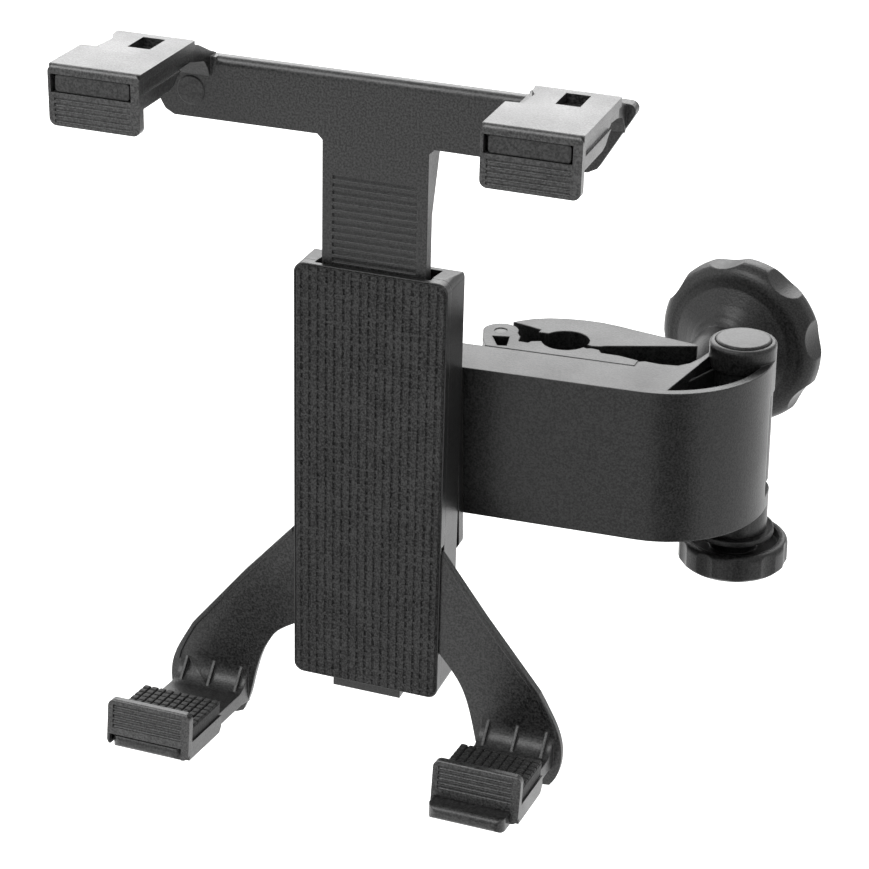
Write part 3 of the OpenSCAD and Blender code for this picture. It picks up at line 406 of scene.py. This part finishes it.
# %% [markdown]
# ## Settled dust
# Black plastic shows dust first where it faces up. Loose grains could be scattered on
# it, but from here they would be too small to see. A mask of the upward faces, broken
# by speckled noise, is enough. It is kept faint, because the real one is new.

# %% Group: settled dust
DUST_PATCHES = (0.52, 0.78)
DUST_SLOPE = (0.35, 1.0)


def make_settled_dust():
    group, ins, outs = new_group(
        "settled_dust", [("Scale", "Float", 900.0), ("Amount", "Float", 0.3)], [("Dust", "Float")]
    )
    place = put(group, "ShaderNodeTexCoord", (-800, 0))
    facing = put(group, "ShaderNodeNewGeometry", (-800, -200))
    split = put(group, "ShaderNodeSeparateXYZ", (-600, -200))
    speck = put(group, "ShaderNodeTexNoise", (-600, 50), Detail=4.0, Roughness=0.75)
    pick = stretch(group, (-400, 50), *DUST_PATCHES)
    up = stretch(group, (-400, -200), *DUST_SLOPE)
    both = put(group, "ShaderNodeMath", (-200, 0), operation="MULTIPLY")
    some = put(group, "ShaderNodeMath", (0, 0), operation="MULTIPLY", use_clamp=True)
    join(group, place, "Object", speck, "Vector")
    join(group, ins, "Scale", speck, "Scale")
    join(group, facing, "Normal", split, 0)
    join(group, split, "Z", up, "Value")
    join(group, speck, "Fac", pick, "Value")
    join(group, pick, 0, both, 0)
    join(group, up, 0, both, 1)
    join(group, both, 0, some, 0)
    join(group, ins, "Amount", some, 1)
    join(group, some, 0, outs, "Dust")
    return group


settled_dust = make_settled_dust()
print("group", settled_dust.name)

# %% [markdown]
# ## Drawn lines
# Turning, rolling and drawing leave fine lines on steel. A picture of brushed metal
# would have to be wrapped round each screw. A noise that is squeezed more along one
# direction than along the others gives the same lines with no wrapping.

# %% Group: drawn lines
def make_drawn_lines():
    group, ins, outs = new_group(
        "drawn_lines", [("Squeeze", "Vector", (900.0, 900.0, 4000.0))], [("Lines", "Float")]
    )
    place = put(group, "ShaderNodeTexCoord", (-800, 0))
    pull = put(group, "ShaderNodeMapping", (-600, 0))
    lines = put(group, "ShaderNodeTexNoise", (-300, 0), Scale=1.0, Detail=3.0)
    join(group, place, "Object", pull, "Vector")
    join(group, ins, "Squeeze", pull, "Scale")
    join(group, pull, "Vector", lines, "Vector")
    join(group, lines, "Fac", outs, "Lines")
    return group


drawn_lines = make_drawn_lines()
print("group", drawn_lines.name)

# %% [markdown]
# ## Layers of colour
# A finish is built up in layers, as a real surface is. A plastic has its specks, worn
# edges over them and dust on top. A rubber has blotches under its dust, and a metal
# has only its lines. This helper lays one layer over another by a mask.

# %% Colour helper
def blend_colours(tree, at, mask, out, start, end):
    """A colour that goes from start to end by a mask. start is a colour or another blend."""
    node = put(tree, "ShaderNodeMix", at, data_type="RGBA")
    if isinstance(start, tuple):
        node.inputs["A"].default_value = start
    else:
        join(tree, start, "Result", node, "A")
    node.inputs["B"].default_value = end
    join(tree, mask, out, node, "Factor")
    return node


print("colour helper ready")

# %% [markdown]
# ## Black plastics
# The arm, the shells, the bracket, the jaws and the knobs are all black, but they come
# from different tools. Each gets its own depth of colour, gloss and grain, so that
# they part from each other where they meet. One recipe with six sets of values does
# it, because the real pieces share one plastic. Wear lightens an edge a little, and
# the slow noise moves the roughness up and down as uneven cooling does.

# %% Recipe for plastic
PLASTIC_IOR = 1.52
SPECK_DARK, SPECK_PALE = 0.1, 2.9
CLOUD_RANGE = (0.3, 0.7)
PLASTIC_WEAR = 3.0
PLASTIC_DUST = (0.16, 0.155, 0.15, 1)
PLASTIC_RISE = 0.00012


def black_plastic(name, tone, worn, rough, stray, shine, scale, depth, edge_mm, dust):
    """A moulded plastic. tone and worn are its greys, stray is how far the roughness goes up
    and down, shine is its mirror level, and scale and depth are its grain's."""
    made = bpy.data.materials.new(name)
    made.use_nodes = True
    tree = made.node_tree
    surface = tree.nodes["Principled BSDF"]
    surface.inputs["IOR"].default_value = PLASTIC_IOR
    surface.inputs["Specular IOR Level"].default_value = shine
    edges = put_group(tree, soft_edges, (-900, -300), Radius=edge_mm * MM, Wear=PLASTIC_WEAR)
    grain = put_group(tree, moulded_grain, (-900, 0), Scale=scale, Depth=depth, Rise=PLASTIC_RISE)
    film = put_group(tree, settled_dust, (-900, 250), Amount=dust)
    join(tree, edges, "Normal", grain, "Under")
    join(tree, grain, "Normal", surface, "Normal")

    speckled = blend_colours(
        tree, (-700, 300), grain, "Speck", grey(tone * SPECK_DARK), grey(tone * SPECK_PALE)
    )
    rubbed = blend_colours(tree, (-500, 300), edges, "Edge", speckled, grey(worn))
    dusty = blend_colours(tree, (-300, 300), film, "Dust", rubbed, PLASTIC_DUST)
    join(tree, dusty, "Result", surface, "Base Color")

    uneven = stretch(tree, (-500, 0), *CLOUD_RANGE, rough - stray, rough + stray)
    join(tree, grain, "Cloud", uneven, "Value")
    join(tree, uneven, 0, surface, "Roughness")
    return made


print("plastic recipe ready")

# %% [markdown]
# The values were set against the photograph, one surface after another. The jaws are
# the palest and mirror the most, with the sharpest edges. The bracket has the deepest
# grain. The knobs are the deepest black, and the cap is the smoothest.

# %% Six black plastics
finishes = {
    "arm_plastic": black_plastic(
        "arm_black", tone=0.007, worn=0.03, rough=0.34, stray=0.04, shine=0.33,
        scale=1800, depth=0.40, edge_mm=0.6, dust=0.05,
    ),
    "shell_plastic": black_plastic(
        "shell_black", tone=0.007, worn=0.03, rough=0.34, stray=0.04, shine=0.37,
        scale=1900, depth=0.40, edge_mm=0.5, dust=0.05,
    ),
    "bracket_plastic": black_plastic(
        "bracket_black", tone=0.011, worn=0.04, rough=0.36, stray=0.05, shine=0.37,
        scale=1700, depth=0.60, edge_mm=0.5, dust=0.07,
    ),
    "jaw_plastic": black_plastic(
        "jaw_black", tone=0.018, worn=0.06, rough=0.33, stray=0.05, shine=0.44,
        scale=2000, depth=0.40, edge_mm=0.10, dust=0.06,
    ),
    "knob_plastic": black_plastic(
        "knob_black", tone=0.006, worn=0.03, rough=0.36, stray=0.04, shine=0.27,
        scale=1800, depth=0.50, edge_mm=0.8, dust=0.06,
    ),
    "cap_plastic": black_plastic(
        "cap_black", tone=0.008, worn=0.02, rough=0.30, stray=0.03, shine=0.28,
        scale=1500, depth=0.20, edge_mm=0.8, dust=0.03,
    ),
}
print("plastics", sorted(finishes))

# %% [markdown]
# ## Rubber
# The face and the jaw pads are soft black rubber. The plastic's recipe with a higher
# roughness could pass for it from far away. Up close rubber is blotched from black to
# dark grey, scatters light from a matt skin with a deeper grain, and holds more dust.
# A faint sheen stands for its finest fuzz. So it gets a recipe of its own.

# %% Recipe for rubber
RUBBER_IOR = 1.5
RUBBER_SHINE = 0.24
RUBBER_SHEEN = 0.04
SHEEN_ROUGH = 0.5
RUBBER_PALE = 4.4
RUBBER_WEAR = 2.0
RUBBER_CLOUD = 120.0
RUBBER_DUST = (0.13, 0.125, 0.12, 1)
RUBBER_DUST_SCALE = 1500.0
RUBBER_RISE = 0.00015


def black_rubber(name, tone, rough, scale, depth, edge_mm, dust):
    """A matt rubber skin, blotched from black up to a few times its tone."""
    made = bpy.data.materials.new(name)
    made.use_nodes = True
    tree = made.node_tree
    surface = tree.nodes["Principled BSDF"]
    surface.inputs["IOR"].default_value = RUBBER_IOR
    surface.inputs["Specular IOR Level"].default_value = RUBBER_SHINE
    surface.inputs["Sheen Weight"].default_value = RUBBER_SHEEN
    surface.inputs["Sheen Roughness"].default_value = SHEEN_ROUGH
    surface.inputs["Roughness"].default_value = rough
    edges = put_group(tree, soft_edges, (-900, -300), Radius=edge_mm * MM, Wear=RUBBER_WEAR)
    grain = put_group(
        tree, moulded_grain, (-900, 0),
        Scale=scale, Cloud_Scale=RUBBER_CLOUD, Depth=depth, Rise=RUBBER_RISE,
    )
    film = put_group(tree, settled_dust, (-900, 250), Amount=dust, Scale=RUBBER_DUST_SCALE)
    join(tree, edges, "Normal", grain, "Under")
    join(tree, grain, "Normal", surface, "Normal")
    blotched = blend_colours(tree, (-500, 250), grain, "Blotch", grey(0.0), grey(tone * RUBBER_PALE))
    dusty = blend_colours(tree, (-300, 250), film, "Dust", blotched, RUBBER_DUST)
    join(tree, dusty, "Result", surface, "Base Color")
    return made


print("rubber recipe ready")

# %% [markdown]
# The waffle pads are the same rubber as the face, but they get a lower grey. That
# darker grey is painted shade, for the jaws' shade that the pads lie in. The washers
# are a firmer rubber with a finer and shallower grain.

# %% Three black rubbers
finishes["pad_rubber"] = black_rubber(
    "pad_rubber_black", tone=0.009, rough=0.62, scale=1700, depth=1.0, edge_mm=0.12, dust=0.12
)
# Painted shade: the face's rubber again, with a lower grey for the jaws' shade on the pads.
finishes["waffle_rubber"] = black_rubber(
    "waffle_rubber_painted_shade", tone=0.005, rough=0.62, scale=1700, depth=1.0, edge_mm=0.10, dust=0.10
)
finishes["washer_rubber"] = black_rubber(
    "washer_rubber_black", tone=0.014, rough=0.7, scale=2200, depth=0.5, edge_mm=0.2, dust=0.1
)
print("rubbers", [name for name in finishes if name.endswith("rubber")])

# %% [markdown]
# ## Metals
# The screws, the bolts and the nut are zinc plated steel, and the button's spring is
# bright spring steel. The clamp's pin looks duller, as a plain steel pin does. An even
# grey would look like paint on them, so the drawn lines darken each one a little and
# move its roughness.

# %% Metal finishes
METAL_DARK = 0.8
METAL_EDGE_MM = 0.3
METAL_WEAR = 1.0
SMOOTHER, ROUGHER = 0.08, 0.12


def bare_metal(name, tone, rough, squeeze):
    """A metal with fine lines. squeeze is the lines' noise scale along X, Y and Z."""
    made = bpy.data.materials.new(name)
    made.use_nodes = True
    tree = made.node_tree
    surface = tree.nodes["Principled BSDF"]
    surface.inputs["Metallic"].default_value = 1.0
    lines = put_group(tree, drawn_lines, (-700, 0), Squeeze=squeeze)
    darker = tuple(c * METAL_DARK for c in tone) + (1,)
    shade = blend_colours(tree, (-400, 200), lines, "Lines", darker, tone + (1,))
    join(tree, shade, "Result", surface, "Base Color")
    uneven = stretch(tree, (-400, 0), 0.0, 1.0, rough - SMOOTHER, rough + ROUGHER)
    join(tree, lines, "Lines", uneven, "Value")
    join(tree, uneven, 0, surface, "Roughness")
    edges = put_group(tree, soft_edges, (-700, -300), Radius=METAL_EDGE_MM * MM, Wear=METAL_WEAR)
    join(tree, edges, "Normal", surface, "Normal")
    return made


finishes["plated_steel"] = bare_metal(
    "zinc_plate", tone=(0.62, 0.62, 0.60), rough=0.32, squeeze=(900, 900, 4000)
)
finishes["spring_steel"] = bare_metal(
    "spring_steel", tone=(0.50, 0.50, 0.51), rough=0.28, squeeze=(3000, 400, 400)
)
finishes["dull_pin"] = bare_metal(
    "dull_pin", tone=(0.11, 0.11, 0.11), rough=0.42, squeeze=(2500, 2500, 2500)
)
print("metals", [name for name in finishes if name.endswith(("steel", "pin"))])

# %% [markdown]
# ## Dress the CAD pieces
# The record gives each piece a material slot, and the finish of that slot goes into
# the piece's own slots. The meshes stay as they came. Only the clamp's pin gets a
# finish of its own, because it looks duller than the plated screws.

# %% Give every CAD piece its finish
OWN_FINISH = {"jaw_pin": "dull_pin"}
slot_of = {part["node"]: part["material_slot"] for part in frame["record"]["subparts"]}
for name, piece in nodes.items():
    for place in piece.material_slots:
        place.material = finishes[OWN_FINISH.get(name, slot_of[name])]
print("dressed", len(nodes), "pieces")

# %% [markdown]
# ## The head's own frame
# The gripping head is turned a little on its swivel in the photograph. Its sheet and
# pads are easier to lay out flat, in millimetres from the middle of the face, so one
# function turns such a flat point into its place in the room. The head's spot lies on
# the swivel's axis, at the front of the sheet and 3.6 mm above the face's middle.

# %% Frame of the head
HEAD_TURN = math.radians(1.8)
SWIVEL_RISE = 3.6
HEAD_SPOT = Vector((-43.2, -49.0, -5.0))
head_axes = Matrix.Rotation(HEAD_TURN, 3, "Y")


def head_point(x, y, z):
    """A point of the head, in mm from the middle of its face, as a place in the room."""
    return (HEAD_SPOT + head_axes @ Vector((x, y, z - SWIVEL_RISE))) * MM


def measured(node, axes):
    """The lowest and highest corners of a node, in mm from the head's spot along the axes."""
    piece = nodes[node]
    to_flat = axes.transposed()
    spots = [to_flat @ (piece.matrix_world @ v.co / MM - HEAD_SPOT) for v in piece.data.vertices]
    low = [min(spot[k] for spot in spots) for k in range(3)]
    high = [max(spot[k] for spot in spots) for k in range(3)]
    return low, high


print("head's face turned", round(math.degrees(HEAD_TURN), 2), "degrees")

# %% [markdown]
# ## Meshes from rings
# Every rubber shape below is a row of rings. A block or a cell is a stack of them that
# narrows upwards, as a mould's pocket has eased edges, and a rib is a row of them along
# its length. One helper joins the rings into a closed skin, and one turns the finished
# mesh into a piece that rides on a body.

# %% Ring helpers
def skin_rings(work, rings):
    """Walls from ring to ring, and a cap at each end."""
    count = len(rings[0])
    for below, above in zip(rings, rings[1:]):
        for k in range(count):
            after = (k + 1) % count
            work.faces.new((below[k], below[after], above[after], above[k]))
    work.faces.new(rings[-1])
    work.faces.new(list(reversed(rings[0])))


def mesh_piece(name, work, finish, body):
    """Turns a bmesh into a piece that rides on a body."""
    mesh = bpy.data.meshes.new(name)
    bmesh.ops.recalc_face_normals(work, faces=work.faces[:])
    work.to_mesh(mesh)
    work.free()
    mesh.materials.append(finish)
    piece = bpy.data.objects.new(name, mesh)
    scene.collection.objects.link(piece)
    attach(piece, body)
    return piece


print("ring helpers ready")

# %% [markdown]
# A plate and a block are both stacks of four rings: a foot, a wall, and two rings that
# ease the top edge. A bevel on a plain box could do the same, but rings keep the few
# faces that each needs and no more. place is a function that turns a flat point and a
# height into a place in the room, so the same shapes serve the face and the pads.

# %% Plates and blocks
BLOCK_BEND, PLATE_BEND = 0.35, 0.3


def eased_profile(base, top, ease, bend):
    """Four rings as (inset, height): a foot, a wall, and an edge that is eased in two steps."""
    return (0.0, base), (0.0, top - ease), (ease * bend, top - ease * bend), (ease, top)


def raised_block(work, place, low, high, base, top, ease):
    """A block from corner low to corner high, from base to top, with eased upper edges."""
    rings = []
    for inset, height in eased_profile(base, top, ease, BLOCK_BEND):
        left, right = low[0] + inset, high[0] - inset
        bottom, ceiling = low[1] + inset, high[1] - inset
        corners = ((left, bottom), (right, bottom), (right, ceiling), (left, ceiling))
        rings.append([work.verts.new(place(u, v, height)) for u, v in corners])
    skin_rings(work, rings)


def rounded_plate(work, place, half_w, half_h, radius, base, top, ease, steps=8):
    """A plate with rounded corners and an eased front edge."""
    rings = []
    for inset, height in eased_profile(base, top, ease, PLATE_BEND):
        ring = []
        for side_u, side_v, start in ((1, 1, 0), (-1, 1, 90), (-1, -1, 180), (1, -1, 270)):
            for k in range(steps + 1):
                turn = math.radians(start + 90 * k / steps)
                u = side_u * (half_w - radius) + (radius - inset) * math.cos(turn)
                v = side_v * (half_h - radius) + (radius - inset) * math.sin(turn)
                ring.append(work.verts.new(place(u, v, height)))
        rings.append(ring)
    skin_rings(work, rings)


print("plate and block ready")

# %% [markdown]
# ## The face sheet
# The tablet leans on a thin rubber sheet. Its face is moulded into upright ribs 2.5 mm
# apart, with short slots between them that grip and let air out. A bridge closes the
# slot every 2.73 mm, so it shows as a row of dark dashes. A bump pattern could fake
# them, but real slots are dark from every side, so each rib is a strip of mesh on a
# thin base and each bridge a small block. The base comes first, with the size and
# place of the CAD model's plain sheet.

# %% Base of the sheet
SHEET_CORNER = 3.0
SHEET_EASE = 0.3
SLOT_DEEP = 0.5
SUNK = 0.05
low, high = measured("face_pad", head_axes)
SHEET_HALF_W = (high[0] - low[0]) / 2
SHEET_HALF_H = (high[2] - low[2]) / 2
SHEET_THICK = high[1] - low[1]


def on_face(u, v, height):
    """A point of the sheet, with its height measured from the sheet's back."""
    return head_point(u, SHEET_THICK - height, v)


sheet = bmesh.new()
rounded_plate(
    sheet, on_face, SHEET_HALF_W, SHEET_HALF_H, SHEET_CORNER, 0.0, SHEET_THICK - SLOT_DEEP, SHEET_EASE
)
print("sheet is", round(2 * SHEET_HALF_W, 1), "by", round(2 * SHEET_HALF_H, 1), "mm")

# %% [markdown]
# The ribs are not quite alike on the real sheet: their edges wander and some stand a
# little lower. A seeded random number moves each point of an edge, so the sheet is
# irregular but comes out the same each time. Each rib's foot is sunk a little into the
# base, so that no gap shows. Near the rounded corners the ribs end early, to leave a
# plain rim.

# %% Upright ribs
ACROSS, DOWN, SLOT = 2.5, 2.73, 0.72
RIM = 0.3
RIB_STEP, RIB_EASE, EDGE_STRAY, CREST_STRAY = 0.9, 0.16, 0.13, 0.12
THINNEST_RIB = 1.0
wobble = random.Random(7)
columns = math.ceil(2 * SHEET_HALF_W / ACROSS)
rows = math.ceil(2 * SHEET_HALF_H / DOWN)
last_u = SHEET_HALF_W - RIM
slot_floor = SHEET_THICK - SLOT_DEEP - SUNK


def reach_beside(u):
    """How far the ribs may reach up or down beside u, inside the sheet's rounded corners."""
    past = max(0.0, abs(u) - (SHEET_HALF_W - SHEET_CORNER))
    return SHEET_HALF_H - SHEET_CORNER + math.sqrt(SHEET_CORNER**2 - past * past) - RIM


def wandering_rib(work, place, left, right, reach, base, top):
    """An upright rib from -reach to reach, whose edges and crest wander a little."""
    count = round(2 * reach / RIB_STEP)
    rings = []
    for k in range(count + 1):
        v = reach * (2 * k / count - 1)
        near = left + wobble.uniform(0, 2 * EDGE_STRAY)
        far = right - wobble.uniform(0, 2 * EDGE_STRAY)
        crest = top - wobble.uniform(0, CREST_STRAY)
        shape = (
            (near, base), (near, crest - RIB_EASE), (near + RIB_EASE, crest),
            (far - RIB_EASE, crest), (far, crest - RIB_EASE), (far, base),
        )
        rings.append([work.verts.new(place(u, v, height)) for u, height in shape])
    skin_rings(work, rings)


for i in range(columns):
    start = (i - columns / 2) * ACROSS
    left = max(start + SLOT / 2 - EDGE_STRAY, -last_u)
    right = min(start + ACROSS - SLOT / 2 + EDGE_STRAY, last_u)
    if right - left > THINNEST_RIB:
        reach = reach_beside(max(abs(left), abs(right)))
        wandering_rib(sheet, on_face, left, right, reach, slot_floor, SHEET_THICK)
print(columns, "columns of ribs")

# %% [markdown]
# The bridges cross each slot at nearly even steps. Each one's height, length and place
# also stray a little, so that some dashes are long and dark and others almost close.

# %% Bridges between the ribs
BRIDGE_STRAY = 0.25
BRIDGE_HALF = (0.25, 0.75)
BRIDGE_BELOW = (0.1, 0.25)
BRIDGE_EASE = 0.12
for i in range(1, columns):
    slot_at = (i - columns / 2) * ACROSS
    for j in range(1, rows):
        bridge_at = (j - rows / 2) * DOWN + wobble.uniform(-BRIDGE_STRAY, BRIDGE_STRAY)
        half = wobble.uniform(*BRIDGE_HALF)
        if abs(slot_at) + SLOT < last_u and abs(bridge_at) + half < reach_beside(abs(slot_at) + SLOT):
            raised_block(
                sheet, on_face, (slot_at - SLOT, bridge_at - half), (slot_at + SLOT, bridge_at + half),
                slot_floor, SHEET_THICK - wobble.uniform(*BRIDGE_BELOW), BRIDGE_EASE,
            )
face_sheet = mesh_piece("face_sheet", sheet, finishes["pad_rubber"], "head")
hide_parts("face_pad")
print("face sheet has", columns, "by", rows, "cells and", len(face_sheet.data.polygons), "faces")

# %% [markdown]
# ## The waffle pads
# Behind each lower lip lies a thicker rubber pad, moulded with fat rounded cells that
# the tablet's edge sinks into. The CAD pad is cut with plain grooves. Here the same pad
# is made again in the same place, with swollen cells on a base. A cell is eight-sided,
# and its corners widen as it rises, so it looks swollen with few faces.

# %% Swollen cells
CELL_CORNER, WIDEST_CORNER = 0.12, 0.35
CELL_RINGS = ((0.0, 0.0), (0.04, 0.5), (0.14, 0.85), (0.36, 1.0))


def swollen_cell(work, place, low, high, base, top):
    """A cell whose walls bulge in towards its flat top."""
    rings = []
    for inset, share in CELL_RINGS:
        height = base + share * (top - base)
        ease = min(WIDEST_CORNER, inset + CELL_CORNER)
        u0, v0, u1, v1 = low[0] + inset, low[1] + inset, high[0] - inset, high[1] - inset
        corners = (
            (u0 + ease, v0), (u1 - ease, v0), (u1, v0 + ease), (u1, v1 - ease),
            (u1 - ease, v1), (u0 + ease, v1), (u0, v1 - ease), (u0, v0 + ease),
        )
        rings.append([work.verts.new(place(u, v, height)) for u, v in corners])
    skin_rings(work, rings)


print("a cell has", len(CELL_RINGS), "rings")

# %% [markdown]
# The pad's frame leans with the tongue that it lies on. Its size is measured on the
# CAD pad, and as many cells as fit are spread over it, so nothing moves.

# %% Two waffle pads
TONGUE_LEAN = math.radians(-8)
CELL, CELL_GAP, CELL_HIGH = 2.5, 0.34, 0.6
PAD_CORNER, PAD_EASE, PAD_STEPS = 0.8, 0.25, 4
pad_axes = head_axes @ Matrix.Rotation(TONGUE_LEAN, 3, "X")


def waffle_pad(name, node, body):
    """The rubber pad of one lower jaw, made in the place of its CAD node."""
    low, high = measured(node, pad_axes)
    half_u, half_v = (high[0] - low[0]) / 2, (high[1] - low[1]) / 2
    base = high[2] - CELL_HIGH

    def in_place(u, v, height):
        return (HEAD_SPOT + pad_axes @ Vector((u, v, height))) * MM

    def from_middle(u, v, height):
        return in_place((low[0] + high[0]) / 2 + u, (low[1] + high[1]) / 2 + v, height)

    work = bmesh.new()
    rounded_plate(work, from_middle, half_u, half_v, PAD_CORNER, low[2], base, PAD_EASE, PAD_STEPS)
    wide, deep = round(2 * half_u / CELL), round(2 * half_v / CELL)
    step_u, step_v = 2 * half_u / wide, 2 * half_v / deep
    for i in range(wide):
        for j in range(deep):
            start = (low[0] + i * step_u + CELL_GAP / 2, low[1] + j * step_v + CELL_GAP / 2)
            end = (start[0] + step_u - CELL_GAP, start[1] + step_v - CELL_GAP)
            swollen_cell(work, in_place, start, end, base - SUNK, high[2])
    # The pad's finish carries painted shade: the face's rubber with a darker grey.
    made = mesh_piece(name, work, finishes["waffle_rubber"], body)
    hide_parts(node)
    print(name, "has", wide, "by", deep, "cells")
    return made


waffle_pad("left_waffle", "lower_left_pad", "lower_left")
waffle_pad("right_waffle", "lower_right_pad", "lower_right")
